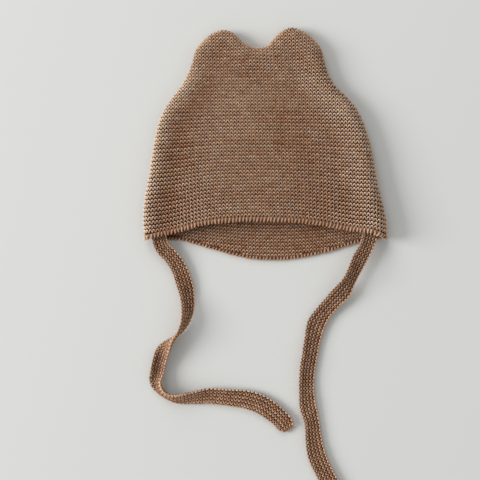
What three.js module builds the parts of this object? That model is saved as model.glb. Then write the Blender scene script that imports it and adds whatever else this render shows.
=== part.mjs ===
// A knitted baby bonnet with two round ears and two ties, lying on its back panel.
// Units are millimetres. +X is to the right, +Y runs from the mouth to the ears and +Z is up.
// The origin is on the surface the bonnet lies on, halfway between its two lower corners.
import * as THREE from "three";

// Driving dimensions
const mouthWidth = 190; // across the crown just above its lower corners, laid flat
const crownHeight = 164; // from the lower corners to the top of the taller ear
const loft = 18; // highest point of the front panel above the surface
const frontRise = 13; // how far the front edge curves up between the corners
const flapDrop = 17.5; // how far the neck flap reaches below the corners
const knitThickness = 2.6; // one layer of garter stitch
const seamHeight = 5.4; // the side seam above the surface
const sewnGap = 0.3; // left between pieces that are sewn together
const bandHeight = 4.2; // the ribbed edge, measured in the plane of the knit
const bandThickness = 3.2;
const bandEdgeShare = 0.55; // how thick a band still is along its edges, as a share
const leftRoll = 5.5; // width of the round fold inside the left seam
const rightRoll = 9; // the same inside the right seam, which lies looser
const leftFall = 14; // from the crest of the left fold down to the panel
const rightFall = 26;
const crownDome = 1.6; // how far the middle of the front panel rises again
const backRoll = 6; // width of the turned-up rim of the back panel
const tieWidth = 16;
const tieThickness = 3.2;
const tieTip = 7; // length of the rounded free end of a tie
const tieTipShare = 0.35; // how wide the very end is, as a share of tieWidth

// Meshing
const acrossSteps = 36;
const upSteps = 22;
const bandSteps = 4;
const tieSteps = 60;
const tieSides = 10;
const gridGrading = 0.8; // 0 spaces the grid evenly, 1 crowds it fully towards the seams
const seamTolerance = 1e-3; // grid points this near the seam line lie on it
const tieSquareness = { wide: 0.6, thick: 0.8 }; // exponents of its section, 1 for an ellipse
const tieStanding = 1.5; // exponent that blends width and thickness into its height when turned

// The side seams from the lower corners up to the ears. Heights are shares of crownHeight, and
// the distances left and right of the centre line are shares of half the mouth width.
const sides = [
  { up: 0.0, left: 0.986, right: 1.002 },
  { up: 0.04, left: 0.993, right: 1.004 },
  { up: 0.09, left: 0.998, right: 0.998 },
  { up: 0.185, left: 0.986, right: 0.961 },
  { up: 0.3, left: 0.949, right: 0.917 },
  { up: 0.415, left: 0.919, right: 0.883 },
  { up: 0.53, left: 0.88, right: 0.825 },
  { up: 0.615, left: 0.823, right: 0.757 },
  { up: 0.67, left: 0.758, right: 0.679 },
  { up: 0.73, left: 0.682, right: 0.575 },
  { up: 0.785, left: 0.63, right: 0.522 },
  { up: 0.852, left: 0.587, right: 0.488 },
  { up: 0.895, left: 0.565, right: 0.467 },
  { up: 0.94, left: 0.5, right: 0.41 },
];

// The top seam over the left ear, through the dip and over the right ear. Across is a share
// of half the mouth width, and up is a share of crownHeight.
const earLine = [
  { across: -0.438, up: 0.97 },
  { across: -0.349, up: 0.988 },
  { across: -0.267, up: 0.978 },
  { across: -0.204, up: 0.948 },
  { across: -0.156, up: 0.922 },
  { across: -0.07, up: 0.907 },
  { across: 0.014, up: 0.913 },
  { across: 0.067, up: 0.943 },
  { across: 0.131, up: 0.98 },
  { across: 0.218, up: 1.0 },
  { across: 0.311, up: 0.983 },
];

// The two edges of the mouth between the corners. Across is a share of half the mouth width,
// rise is a share of frontRise and drop is a share of flapDrop.
const frontEdge = [
  { across: -0.82, rise: 0.16 },
  { across: -0.68, rise: 0.4 },
  { across: -0.54, rise: 0.7 },
  { across: -0.4, rise: 0.88 },
  { across: -0.2, rise: 0.98 },
  { across: 0.03, rise: 1.0 },
  { across: 0.25, rise: 0.94 },
  { across: 0.45, rise: 0.78 },
  { across: 0.6, rise: 0.57 },
  { across: 0.74, rise: 0.4 },
  { across: 0.88, rise: 0.28 },
];
const flapEdge = [
  { across: -0.8, drop: 0.1 },
  { across: -0.68, drop: 0.13 },
  { across: -0.54, drop: 0.34 },
  { across: -0.4, drop: 0.57 },
  { across: -0.26, drop: 0.78 },
  { across: -0.11, drop: 0.94 },
  { across: 0.08, drop: 1.0 },
  { across: 0.24, drop: 0.95 },
  { across: 0.45, drop: 0.73 },
  { across: 0.6, drop: 0.51 },
  { across: 0.74, drop: 0.25 },
  { across: 0.88, drop: 0.1 },
];

// The lie of the front panel at five heights: the crest of the left and right folds and the
// flatter knit between them, all as shares of loft. Up is a share of crownHeight.
const lie = [
  { up: 0.0, leftCrest: 0.8, rightCrest: 1.0, between: 0.7 },
  { up: 0.25, leftCrest: 0.76, rightCrest: 0.93, between: 0.67 },
  { up: 0.5, leftCrest: 0.71, rightCrest: 0.82, between: 0.63 },
  { up: 0.75, leftCrest: 0.66, rightCrest: 0.72, between: 0.58 },
  { up: 1.0, leftCrest: 0.6, rightCrest: 0.64, between: 0.53 },
];

// Routes of the two ties, from inside the mouth to the free end, in millimetres. Lift is the
// height of the lowest edge above the surface, turn is the twist in degrees, 0 lying flat, and
// wide is the width there as a share of tieWidth.
const leftTie = [
  { x: -82.6, y: 8.5, lift: 3.2, turn: 0, wide: 0.75 },
  { x: -82, y: 0.5, lift: 3.5, turn: 0, wide: 0.75 },
  { x: -79.5, y: -7.6, lift: 3.4, turn: -2, wide: 0.74 },
  { x: -72.7, y: -15, lift: 2, turn: -6, wide: 0.75 },
  { x: -66.9, y: -24.2, lift: 1, turn: -10, wide: 0.79 },
  { x: -63.3, y: -34.8, lift: 0.6, turn: -16, wide: 0.85 },
  { x: -61.2, y: -45.9, lift: 0.5, turn: -35, wide: 0.84 },
  { x: -60.8, y: -56.5, lift: 0.6, turn: -49, wide: 0.85 },
  { x: -62.6, y: -65.2, lift: 0.8, turn: -64, wide: 0.85 },
  { x: -66.6, y: -73.3, lift: 0.8, turn: -80, wide: 0.84 },
  { x: -72.6, y: -80.3, lift: 0.6, turn: -110, wide: 0.84 },
  { x: -77.3, y: -87.7, lift: 0.5, turn: -133, wide: 0.85 },
  { x: -81.7, y: -96.3, lift: 0.4, turn: -145, wide: 0.85 },
  { x: -83.7, y: -105, lift: 0.3, turn: -148, wide: 0.85 },
  { x: -82.9, y: -113.8, lift: 0.3, turn: -123, wide: 0.74 },
  { x: -77.9, y: -121.3, lift: 0.3, turn: -112, wide: 0.72 },
  { x: -68.7, y: -124.6, lift: 0.2, turn: -126, wide: 0.82 },
  { x: -56, y: -123.7, lift: 0.1, turn: -141, wide: 0.87 },
  { x: -43.6, y: -122.7, lift: 0.1, turn: -160, wide: 0.88 },
  { x: -28.5, y: -124.3, lift: 0.1, turn: -172, wide: 0.86 },
  { x: -14.1, y: -126.2, lift: 0.1, turn: -178, wide: 0.96 },
  { x: -3.6, y: -129.7, lift: 0.1, turn: -180, wide: 0.98 },
  { x: 6.4, y: -136.1, lift: 0.1, turn: -180, wide: 0.95 },
  { x: 14.2, y: -143.3, lift: 0.1, turn: -180, wide: 0.92 },
  { x: 18.8, y: -150.6, lift: 0.1, turn: -180, wide: 0.91 },
];
const rightTie = [
  { x: 82.4, y: 8.5, lift: 3.2, turn: 0, wide: 0.75 },
  { x: 81.9, y: 1.5, lift: 3.6, turn: -2, wide: 0.75 },
  { x: 78.5, y: -7.2, lift: 4.2, turn: -12, wide: 0.74 },
  { x: 73.3, y: -16.3, lift: 4.8, turn: -20, wide: 0.81 },
  { x: 68.6, y: -25.3, lift: 4.8, turn: -34, wide: 0.82 },
  { x: 64.4, y: -33.6, lift: 4.6, turn: -36, wide: 0.84 },
  { x: 59.9, y: -41.2, lift: 3.6, turn: -20, wide: 0.95 },
  { x: 53, y: -49.1, lift: 2, turn: -14, wide: 0.85 },
  { x: 45.6, y: -58, lift: 0.7, turn: -10, wide: 0.82 },
  { x: 40.3, y: -66.9, lift: 0.2, turn: -6, wide: 0.93 },
  { x: 37, y: -78.9, lift: 0.1, turn: -14, wide: 0.845 },
  { x: 34.5, y: -91.9, lift: 0.1, turn: -22, wide: 0.86 },
  { x: 32.5, y: -105, lift: 0.1, turn: -22, wide: 0.83 },
  { x: 32.3, y: -118, lift: 0.1, turn: -16, wide: 0.79 },
  { x: 33.5, y: -130.9, lift: 0.1, turn: -8, wide: 0.845 },
  { x: 36.4, y: -143.8, lift: 0.1, turn: -18, wide: 0.79 },
  { x: 37.9, y: -156.8, lift: 0.1, turn: -12, wide: 0.85 },
  { x: 40.8, y: -170, lift: 0.1, turn: -4, wide: 0.92 },
  { x: 46.1, y: -181.9, lift: 0.1, turn: 0, wide: 0.9 },
  { x: 52.3, y: -193.6, lift: 0.1, turn: 0, wide: 0.9 },
  { x: 58.5, y: -204.6, lift: 0.1, turn: 0, wide: 0.9 },
  { x: 64.6, y: -214.3, lift: 0.1, turn: 0, wide: 0.9 },
];

const halfMouth = mouthWidth / 2;
const { lerp, clamp, smoothstep, degToRad } = THREE.MathUtils;

const knit = new THREE.MeshStandardMaterial({
  color: 0x8a6850,
  roughness: 0.95,
  metalness: 0,
});
const edging = new THREE.MeshStandardMaterial({
  color: 0x93705a,
  roughness: 0.95,
  metalness: 0,
});

// A smooth plane curve through a list of points.
function curveThrough(points) {
  const raised = points.map(([x, y]) => new THREE.Vector3(x, y, 0));
  return new THREE.CatmullRomCurve3(raised, false, "centripetal");
}

// The closed part of the silhouette, from the left corner over both ears to the right corner.
const leftSide = sides.map((row) => [-row.left * halfMouth, row.up * crownHeight]);
const overEars = earLine.map((row) => [row.across * halfMouth, row.up * crownHeight]);
const rightSide = sides.map((row) => [row.right * halfMouth, row.up * crownHeight]).reverse();
const seamPoints = [...leftSide, ...overEars, ...rightSide];
const seamLine = curveThrough(seamPoints);
const seamSamples = 12; // samples between two points of the seam line
seamLine.arcLengthDivisions = (seamPoints.length - 1) * seamSamples;
const seamLengths = seamLine.getLengths();
const seamLength = seamLengths[seamLengths.length - 1];
const leftShoulder = seamLengths[(sides.length - 1) * seamSamples] / seamLength;
const rightShoulder = seamLengths[(sides.length + overEars.length) * seamSamples] / seamLength;
const seamTrace = seamLine.getPoints(seamLine.arcLengthDivisions);

// Distance in the plane from a point to the seam line, and the direction straight out to it.
function toSeam(x, y) {
  let best = { distance: Infinity, outX: 0, outY: 0 };
  for (let i = 0; i + 1 < seamTrace.length; i++) {
    const a = seamTrace[i];
    const b = seamTrace[i + 1];
    const dx = b.x - a.x;
    const dy = b.y - a.y;
    const along = ((x - a.x) * dx + (y - a.y) * dy) / (dx * dx + dy * dy);
    const share = clamp(along, 0, 1);
    const distance = Math.hypot(x - a.x - share * dx, y - a.y - share * dy);
    if (distance < best.distance) {
      const length = Math.hypot(dx, dy);
      best = { distance, outX: -dy / length, outY: dx / length };
    }
  }
  return best;
}

// One column of the lie table at a height, by straight interpolation between its rows.
function lieAt(up, column) {
  const after = lie.findIndex((row) => row.up >= up);
  if (after < 0) return lie[lie.length - 1][column];
  if (after === 0) return lie[0][column];
  const [low, high] = [lie[after - 1], lie[after]];
  return lerp(low[column], high[column], (up - low.up) / (high.up - low.up));
}

// Height of the outer face of the front panel: a round fold rises from the seam to a crest,
// falls to the flatter knit, and a slight dome fills the middle.
function frontHeight(x, y) {
  const { distance } = toSeam(x, y);
  const rightness = smoothstep(x, -halfMouth, halfMouth);
  const up = clamp(y / crownHeight, 0, 1);
  const roll = lerp(leftRoll, rightRoll, rightness);
  const fall = lerp(leftFall, rightFall, rightness);
  const crest = loft * lerp(lieAt(up, "leftCrest"), lieAt(up, "rightCrest"), rightness);
  const between = loft * lieAt(up, "between");
  const base = seamHeight + sewnGap / 2;
  if (distance < roll) {
    return base + (crest - base) * Math.sqrt(1 - (1 - distance / roll) ** 2);
  }
  const fallen = clamp((distance - roll) / fall, 0, 1);
  const wave = (1 + Math.cos(Math.PI * fallen)) / 2;
  const inner = clamp((distance - roll - fall) / (halfMouth - roll - fall), 0, 1);
  return between + (crest - between) * wave + crownDome * Math.sin((Math.PI / 2) * inner);
}

// Height of the outer face of the back panel: flat on the surface, with a rim turned up to
// the seam.
function backHeight(x, y) {
  const { distance } = toSeam(x, y);
  if (distance >= backRoll) return 0;
  return (seamHeight - sewnGap / 2) * (1 - Math.sqrt(1 - (1 - distance / backRoll) ** 2));
}

// A share between 0 and 1, crowded towards both ends or towards the end at 1.
const crowdBoth = (share) => share - (gridGrading * Math.sin(2 * Math.PI * share)) / (2 * Math.PI);
const crowdEnd = (share) => share + (gridGrading * Math.sin(Math.PI * share)) / Math.PI;

// A grid of plane points between four edges, blended so that its rim follows each edge.
function patch({ bottom, top, left, right, columns, rows, spaceAcross, spaceUp }) {
  const grid = [];
  for (let j = 0; j <= rows; j++) {
    const t = spaceUp(j / rows);
    const row = [];
    for (let i = 0; i <= columns; i++) {
      const s = spaceAcross(i / columns);
      const corner = (axis) =>
        (1 - s) * (1 - t) * bottom(0)[axis] +
        s * (1 - t) * bottom(1)[axis] +
        (1 - s) * t * top(0)[axis] +
        s * t * top(1)[axis];
      const blend = (axis) =>
        (1 - t) * bottom(s)[axis] +
        t * top(s)[axis] +
        (1 - s) * left(t)[axis] +
        s * right(t)[axis] -
        corner(axis);
      row.push([blend("x"), blend("y")]);
    }
    grid.push(row);
  }
  return grid;
}

// The outer and inner faces of a sheet over a plane grid. The sheet thickens away from its
// outer face, its normal lies flat where the grid meets the seam, and its inner face stays on
// its own side of the seam.
function faces(grid, height, facing, outerOffset, innerOffset) {
  const rows = grid.length - 1;
  const columns = grid[0].length - 1;
  const surface = grid.map((row) => row.map(([x, y]) => new THREE.Vector3(x, y, height(x, y))));
  const seamSide = seamHeight + (facing * sewnGap) / 2;
  const outer = [];
  const inner = [];
  for (let j = 0; j <= rows; j++) {
    for (let i = 0; i <= columns; i++) {
      const point = surface[j][i];
      const across = surface[j][Math.min(i + 1, columns)].clone();
      across.sub(surface[j][Math.max(i - 1, 0)]);
      const along = surface[Math.min(j + 1, rows)][i].clone();
      along.sub(surface[Math.max(j - 1, 0)][i]);
      const normal = across.cross(along).normalize().multiplyScalar(facing);
      const { distance, outX, outY } = toSeam(point.x, point.y);
      if (distance < seamTolerance) normal.set(outX, outY, 0);
      outer.push(point.clone().addScaledVector(normal, outerOffset(j / rows)));
      const under = point.clone().addScaledVector(normal, -innerOffset(j / rows));
      under.z = facing > 0 ? Math.max(under.z, seamSide) : Math.min(under.z, seamSide);
      inner.push(under);
    }
  }
  return { outer, inner, rows, columns };
}

// A closed solid between an outer and an inner grid of points.
function sheetSolid({ outer, inner, rows, columns }, facing) {
  const stride = columns + 1;
  const half = outer.length;
  const index = [];
  const quad = (a, b, c, d) => {
    if (facing > 0) index.push(a, b, c, a, c, d);
    else index.push(a, c, b, a, d, c);
  };
  for (let j = 0; j < rows; j++) {
    for (let i = 0; i < columns; i++) {
      const a = j * stride + i;
      quad(a, a + 1, a + 1 + stride, a + stride);
      quad(half + a + stride, half + a + stride + 1, half + a + 1, half + a);
    }
  }
  for (let i = 0; i < columns; i++) {
    const low = i;
    const high = rows * stride + i;
    quad(half + low, half + low + 1, low + 1, low);
    quad(high, high + 1, half + high + 1, half + high);
  }
  for (let j = 0; j < rows; j++) {
    const left = j * stride;
    const right = left + columns;
    quad(left, left + stride, half + left + stride, half + left);
    quad(half + right, half + right + stride, right + stride, right);
  }
  const geometry = new THREE.BufferGeometry().setFromPoints([...outer, ...inner]);
  geometry.setIndex(index);
  geometry.computeVertexNormals();
  return geometry;
}

// A stretch of the seam line on one side, as a function of the share between two heights
// above the corner, measured along the seam.
function sideRun(isLeft, from, to) {
  const run = isLeft ? (length) => length / seamLength : (length) => 1 - length / seamLength;
  return (share) => seamLine.getPointAt(clamp(run(lerp(from, to, share)), 0, 1));
}

// An edge of the mouth moved into the knit by a distance, with its ends kept on the seams.
function mouthEdge(curve, inward) {
  const leftEnd = sideRun(true, inward, inward)(0);
  const rightEnd = sideRun(false, inward, inward)(0);
  const [start, end] = [curve.getPoint(0), curve.getPoint(1)];
  return (share) => {
    const point = curve.getPointAt(share);
    point.x += lerp(leftEnd.x - start.x, rightEnd.x - end.x, share);
    point.y += lerp(leftEnd.y - start.y, rightEnd.y - end.y, share);
    return point;
  };
}

const corners = [seamPoints[0], seamPoints[seamPoints.length - 1]];
const frontCurve = curveThrough([
  corners[0],
  ...frontEdge.map((row) => [row.across * halfMouth, row.rise * frontRise]),
  corners[1],
]);
const flapCurve = curveThrough([
  corners[0],
  ...flapEdge.map((row) => [row.across * halfMouth, -row.drop * flapDrop]),
  corners[1],
]);

// A panel of the crown, from above its ribbed edge up to the ears.
function panel(curve, height, facing) {
  const start = bandHeight + sewnGap;
  const grid = patch({
    bottom: mouthEdge(curve, start),
    top: (share) => seamLine.getPointAt(lerp(leftShoulder, rightShoulder, share)),
    left: sideRun(true, start, leftShoulder * seamLength),
    right: sideRun(false, start, (1 - rightShoulder) * seamLength),
    columns: acrossSteps,
    rows: upSteps,
    spaceAcross: crowdBoth,
    spaceUp: crowdEnd,
  });
  const sheet = faces(
    grid,
    height,
    facing,
    () => 0,
    () => knitThickness,
  );
  return new THREE.Mesh(sheetSolid(sheet, facing), knit);
}

// A ribbed edge, a rounded strip that carries on from the lower edge of its panel.
function edgeBand(curve, height, facing) {
  const grid = patch({
    bottom: mouthEdge(curve, 0),
    top: mouthEdge(curve, bandHeight),
    left: sideRun(true, 0, bandHeight),
    right: sideRun(false, 0, bandHeight),
    columns: acrossSteps,
    rows: bandSteps,
    spaceAcross: crowdBoth,
    spaceUp: (share) => share,
  });
  const belly = (share) => lerp(bandEdgeShare, 1, Math.sqrt(1 - (2 * share - 1) ** 2));
  const spare = facing < 0 ? 0 : bandThickness - knitThickness;
  const sheet = faces(
    grid,
    height,
    facing,
    (share) => spare * belly(share),
    (share) => (bandThickness - spare) * belly(share),
  );
  return new THREE.Mesh(sheetSolid(sheet, facing), edging);
}

const signedPower = (value, exponent) => Math.sign(value) * Math.abs(value) ** exponent;

// A tie: a flat knitted strap swept along its route, twisted as its table says and rounded
// at the free end.
function tie(route) {
  const centre = new THREE.CatmullRomCurve3(
    route.map(({ x, y, lift, turn, wide }) => {
      const angle = degToRad(turn);
      const reach = ((wide * tieWidth) / 2) * Math.abs(Math.sin(angle));
      const flat = (tieThickness / 2) * Math.abs(Math.cos(angle));
      const rise = (reach ** tieStanding + flat ** tieStanding) ** (1 / tieStanding);
      return new THREE.Vector3(x, y, lift + rise);
    }),
    false,
    "centripetal",
  );
  const turns = new THREE.SplineCurve(route.map(({ turn }, i) => new THREE.Vector2(i, turn)));
  const widths = new THREE.SplineCurve(route.map(({ wide }, i) => new THREE.Vector2(i, wide)));
  const length = centre.getLength();
  const points = [];
  for (let j = 0; j <= tieSteps; j++) {
    const share = j / tieSteps;
    const at = centre.getUtoTmapping(share);
    const middle = centre.getPoint(at);
    const forward = centre.getTangent(at);
    const angle = degToRad(turns.getPoint(at).y);
    const level = new THREE.Vector3(-forward.y, forward.x, 0).normalize();
    const upward = forward.clone().cross(level);
    const across = level.clone().multiplyScalar(Math.cos(angle));
    across.addScaledVector(upward, Math.sin(angle));
    const through = forward.clone().cross(across).normalize();
    const left = clamp(((1 - share) * length) / tieTip, 0, 1);
    const taper = Math.max(Math.sqrt(1 - (1 - left) ** 2), tieTipShare);
    const halfWidth = (tieWidth / 2) * widths.getPoint(at).y * taper;
    for (let i = 0; i < tieSides; i++) {
      const turn = (2 * Math.PI * (i + 0.5)) / tieSides;
      const wide = signedPower(Math.cos(turn), tieSquareness.wide);
      const thick = signedPower(Math.sin(turn), tieSquareness.thick);
      const point = middle.clone();
      point.addScaledVector(across, halfWidth * wide);
      point.addScaledVector(through, (tieThickness / 2) * thick);
      points.push(point);
    }
  }
  const index = [];
  for (let j = 0; j < tieSteps; j++) {
    for (let i = 0; i < tieSides; i++) {
      const a = j * tieSides + i;
      const b = j * tieSides + ((i + 1) % tieSides);
      index.push(a, b, b + tieSides, a, b + tieSides, a + tieSides);
    }
  }
  for (let i = 1; i < tieSides - 1; i++) {
    const last = tieSteps * tieSides;
    index.push(0, i + 1, i);
    index.push(last, last + i, last + i + 1);
  }
  const geometry = new THREE.BufferGeometry().setFromPoints(points);
  geometry.setIndex(index);
  geometry.computeVertexNormals();
  return new THREE.Mesh(geometry, knit);
}

const bonnet = new THREE.Group();
const pieces = {
  front_panel: panel(frontCurve, frontHeight, 1),
  back_panel: panel(flapCurve, backHeight, -1),
  front_edge_band: edgeBand(frontCurve, frontHeight, 1),
  back_edge_band: edgeBand(flapCurve, backHeight, -1),
  tie_left: tie(leftTie),
  tie_right: tie(rightTie),
};
for (const [name, mesh] of Object.entries(pieces)) {
  mesh.name = name;
  bonnet.add(mesh);
}

export default bonnet;
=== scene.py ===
import math

import bpy
import numpy as np
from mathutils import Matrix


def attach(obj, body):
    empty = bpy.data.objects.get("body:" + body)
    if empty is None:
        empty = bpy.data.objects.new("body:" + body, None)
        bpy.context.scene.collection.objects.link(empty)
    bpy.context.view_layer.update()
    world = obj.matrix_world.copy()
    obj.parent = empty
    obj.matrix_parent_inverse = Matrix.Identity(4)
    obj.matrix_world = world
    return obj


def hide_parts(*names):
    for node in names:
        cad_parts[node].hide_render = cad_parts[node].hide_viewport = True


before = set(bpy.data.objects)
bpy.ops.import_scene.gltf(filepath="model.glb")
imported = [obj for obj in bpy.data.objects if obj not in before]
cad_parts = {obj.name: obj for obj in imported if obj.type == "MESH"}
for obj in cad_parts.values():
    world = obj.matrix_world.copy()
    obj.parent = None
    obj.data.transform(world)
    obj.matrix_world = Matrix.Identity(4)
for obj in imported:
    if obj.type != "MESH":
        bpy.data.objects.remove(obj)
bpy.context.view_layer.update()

mm = 0.001  # every shape below is worked out in millimetres and stored in metres
lowestPoint = 0.02  # no vertex lies lower above the surface than this, in millimetres
groundTone = 0.4  # tone of what shows between the loops of yarn, which is darkened further with painted shade


# Camera, straight above the bonnet as the photograph is
cameraSettings = {
    "height": 1.0,  # metres above the surface
    "frameWidth": 0.3744,  # metres of the bonnet's seam plane that the picture takes in
    "seamPlane": 0.0054,
    "centre": (-0.0191, -0.0016),
    "sensor": 36.0,
}


def makeCamera(settings):
    data = bpy.data.cameras.new("camera")
    data.sensor_width = settings["sensor"]
    distance = settings["height"] - settings["seamPlane"]
    data.lens = settings["sensor"] * distance / settings["frameWidth"]
    camera = bpy.data.objects.new("camera", data)
    bpy.context.scene.collection.objects.link(camera)
    camera.location = (*settings["centre"], settings["height"])
    bpy.context.scene.camera = camera


makeCamera(cameraSettings)
print("camera made")


# Shared tools: curves, meshes and yarn


def smoothCurve(points, samples=12):
    # Centripetal Catmull-Rom curve: each stretch between two points is a cubic whose end slopes
    # come from the neighbours, with the knots spaced by the square root of the distances.
    p = np.asarray(points, float)
    p = np.vstack([2 * p[0] - p[1], p, 2 * p[-1] - p[-2]])
    gaps = np.linalg.norm(np.diff(p, axis=0), axis=1)[:, None] ** 0.5
    p0, p1, p2, p3 = p[:-3], p[1:-2], p[2:-1], p[3:]
    d0, d1, d2 = gaps[:-2], gaps[1:-1], gaps[2:]
    m1 = ((p1 - p0) / d0 - (p2 - p0) / (d0 + d1) + (p2 - p1) / d1) * d1
    m2 = ((p2 - p1) / d1 - (p3 - p1) / (d1 + d2) + (p3 - p2) / d2) * d1
    t = (np.arange(samples) / samples)[None, :, None]
    a, b, c, d = p1[:, None], p2[:, None], m1[:, None], m2[:, None]
    curve = a * (2 * t**3 - 3 * t**2 + 1) + b * (3 * t**2 - 2 * t**3)
    curve = curve + c * (t**3 - 2 * t**2 + t) + d * (t**3 - t**2)
    return np.vstack([curve.reshape(-1, p.shape[1]), p[-2:-1]])


def lengthsAlong(points):
    steps = np.linalg.norm(np.diff(points, axis=0), axis=1)
    return np.concatenate([[0.0], np.cumsum(steps)])


def sampleAt(values, lengths, at):
    # Straight interpolation of each column of values over the lengths.
    return np.stack([np.interp(at, lengths, column) for column in np.asarray(values).T], axis=-1)


def unit(vectors):
    return vectors / np.maximum(np.linalg.norm(vectors, axis=-1, keepdims=True), 1e-12)


def smoothStep(x, low, high):
    t = np.clip((x - low) / (high - low), 0, 1)
    return t * t * (3 - 2 * t)


def perPoint(value, points):
    return np.broadcast_to(np.asarray(value, float), (len(points),)).copy()


def makePart(points, quads, caps=(), uv=None, tone=0.5, depth=0.0):
    # One shell: points, four-sided faces, end caps, and three values for the material, which are the
    # place along and around the yarn, its tone, and how deep it lies in the knit, which sets its
    # painted shade.
    return {
        "points": points,
        "quads": quads,
        "caps": [list(cap) for cap in caps],
        "uv": np.zeros((len(quads), 4, 2)) if uv is None else uv,
        "tone": perPoint(tone, points),
        "depth": perPoint(depth, points),
    }


def joinParts(parts):
    # Joins shells into one, with the vertex numbers of each shell moved past those before it.
    starts = np.concatenate([[0], np.cumsum([len(part["points"]) for part in parts])])
    caps = [[v + int(s) for v in cap] for part, s in zip(parts, starts) for cap in part["caps"]]
    return {
        "points": np.concatenate([part["points"] for part in parts]),
        "quads": np.concatenate([part["quads"] + s for part, s in zip(parts, starts)]),
        "caps": caps,
        "uv": np.concatenate([part["uv"] for part in parts]),
        "tone": np.concatenate([part["tone"] for part in parts]),
        "depth": np.concatenate([part["depth"] for part in parts]),
    }


def makeObject(name, parts, material, nodes):
    joined = joinParts(parts)
    joined["points"][:, 2] = np.maximum(joined["points"][:, 2], lowestPoint)
    mesh = bpy.data.meshes.new(name)
    faces = joined["quads"].tolist() + joined["caps"]
    mesh.from_pydata((joined["points"] * mm).tolist(), [], faces)
    mesh.polygons.foreach_set("use_smooth", np.ones(len(faces), bool))
    layer = mesh.uv_layers.new(name="yarn")
    flat = np.zeros(2 * len(mesh.loops))
    flat[: joined["uv"].size] = joined["uv"].ravel()
    layer.data.foreach_set("uv", flat)
    for key in ("tone", "depth"):
        attribute = mesh.attributes.new(key, "FLOAT", "POINT")
        attribute.data.foreach_set("value", joined[key])
    mesh.update()
    piece = bpy.data.objects.new(name, mesh)
    bpy.context.scene.collection.objects.link(piece)
    mesh.materials.append(material)
    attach(piece, "root")
    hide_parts(*nodes)
    triangles = 2 * len(joined["quads"]) + sum(len(cap) - 2 for cap in joined["caps"])
    print(name, "made,", triangles, "triangles")
    return piece


def ringQuads(count, sides, steps):
    # Faces between each ring of points and the next, the last ring being followed by the first.
    i = np.arange(steps)[:, None]
    j = np.arange(sides)[None, :]
    after = (i + 1) % count
    beside = (j + 1) % sides
    corners = [i * sides + j, after * sides + j, after * sides + beside, i * sides + beside]
    return np.stack(corners, axis=-1).reshape(-1, 4)


def ringTube(rings, tone, depth):
    # A closed tube from rings of points that turn the other way than a yarn's, with flat ends.
    count, sides = rings.shape[:2]
    quads = ringQuads(count, sides, count - 1)[:, [0, 3, 2, 1]]
    last = (count - 1) * sides
    caps = [list(range(sides))[::-1], [last + k for k in range(sides)]]
    return makePart(rings.reshape(-1, 3), quads, caps, None, tone, depth)


def yarnUv(along, sides, steps):
    # For the four corners of each face, its length along the yarn and its share of the way round.
    start = np.broadcast_to(along[:-1][:steps, None], (steps, sides))
    end = np.broadcast_to(along[1:][:steps, None], (steps, sides))
    low = np.broadcast_to(np.arange(sides) / sides, (steps, sides))
    high = low + 1 / sides
    corners = [(start, low), (end, low), (end, high), (start, high)]
    return np.stack([np.stack(corner, -1) for corner in corners], axis=-2).reshape(-1, 4, 2)


def sweepYarn(centre, normal, radius, sides, closed, tone, depthOf):
    # A round yarn carried along a path: at each point a ring of the given radius stands square to
    # the path, with its first axis along path x normal and its second nearest the normal.
    forward = np.roll(centre, -1, 0) - np.roll(centre, 1, 0)
    if not closed:
        forward[0] = centre[1] - centre[0]
        forward[-1] = centre[-1] - centre[-2]
    forward = unit(forward)
    across = unit(np.cross(forward, normal))
    upward = np.cross(across, forward)
    angle = 2 * np.pi * (np.arange(sides) + 0.5) / sides
    radius = np.broadcast_to(radius, (len(centre),))
    ring = np.cos(angle)[:, None] * across[:, None] + np.sin(angle)[:, None] * upward[:, None]
    points = centre[:, None] + ring * radius[:, None, None]
    count = len(centre)
    steps = count if closed else count - 1
    along = lengthsAlong(np.vstack([centre, centre[:1]]))
    caps = []
    if not closed:
        last = (count - 1) * sides
        caps = [range(sides), [last + k for k in range(sides)][::-1]]
    above = np.sin(angle)[None, :] * radius[:, None]
    depth = depthOf(np.arange(count)[:, None], above).ravel()
    tone = np.repeat(np.broadcast_to(tone, (count,)), sides)
    # Painted highlight on the tops of the yarn.
    tone = tone + yarn["crestHighlight"] * np.clip(1 - depth / yarn["crestHighlightDepth"], 0, 1)
    quads, uv = ringQuads(count, sides, steps), yarnUv(along, sides, steps)
    return makePart(points.reshape(-1, 3), quads, caps, uv, tone, depth)


# The yarn of a ridge of garter stitch. Sizes are in millimetres, places in stitches.
yarn = {
    "stitch": 2.8,  # from one stitch to the next
    "ridge": 2.8,  # from one ridge to the next
    "radius": 0.51,
    "swing": 1.02,  # how far a loop reaches up and down from the middle of its ridge
    "arch": 0.06,  # how much the heads and feet of the loops stand out
    "headRise": 0.25,  # how much the heads stand above the feet
    "overhang": 0.05,  # how far a loop is wider at its head than at its neck
    "headroom": 0.03,  # how much wider the upper loops are than the lower ones
    "unevenness": 0.07,
    "unevenShares": (0.35, 0.8, 1.5, 0.6),  # of it, in the lean, the middle, the lift and the radius
    "endSwell": 0.05,  # how much thicker the yarn is at both ends of its swing
    "crestHighlight": 0.55,  # painted highlight on the tops of the yarn, as a rise in tone
    # depth below the top over which the painted highlight fades
    "crestHighlightDepth": 0.35,
    # depth below the ridge top over which the painted shade deepens
    "depthScale": 1.5,
    "tone": 0.5,
    "toneVary": 0.13,  # how much the tone changes from stitch to stitch
    "ridgeToneVary": 0.05,  # and from ridge to ridge
    "lineSteps": 500,  # points of a ridge's line before it is looped
}


def unevenLoops(u, knots, unevenness, rng):
    # Four slow random curves along a yarn, for the lean, width, middle and lift of its loops.
    wobble = rng.normal(0, unevenness, (4, len(knots)))
    return [np.interp(u, knots, row) for row in wobble]


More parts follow.
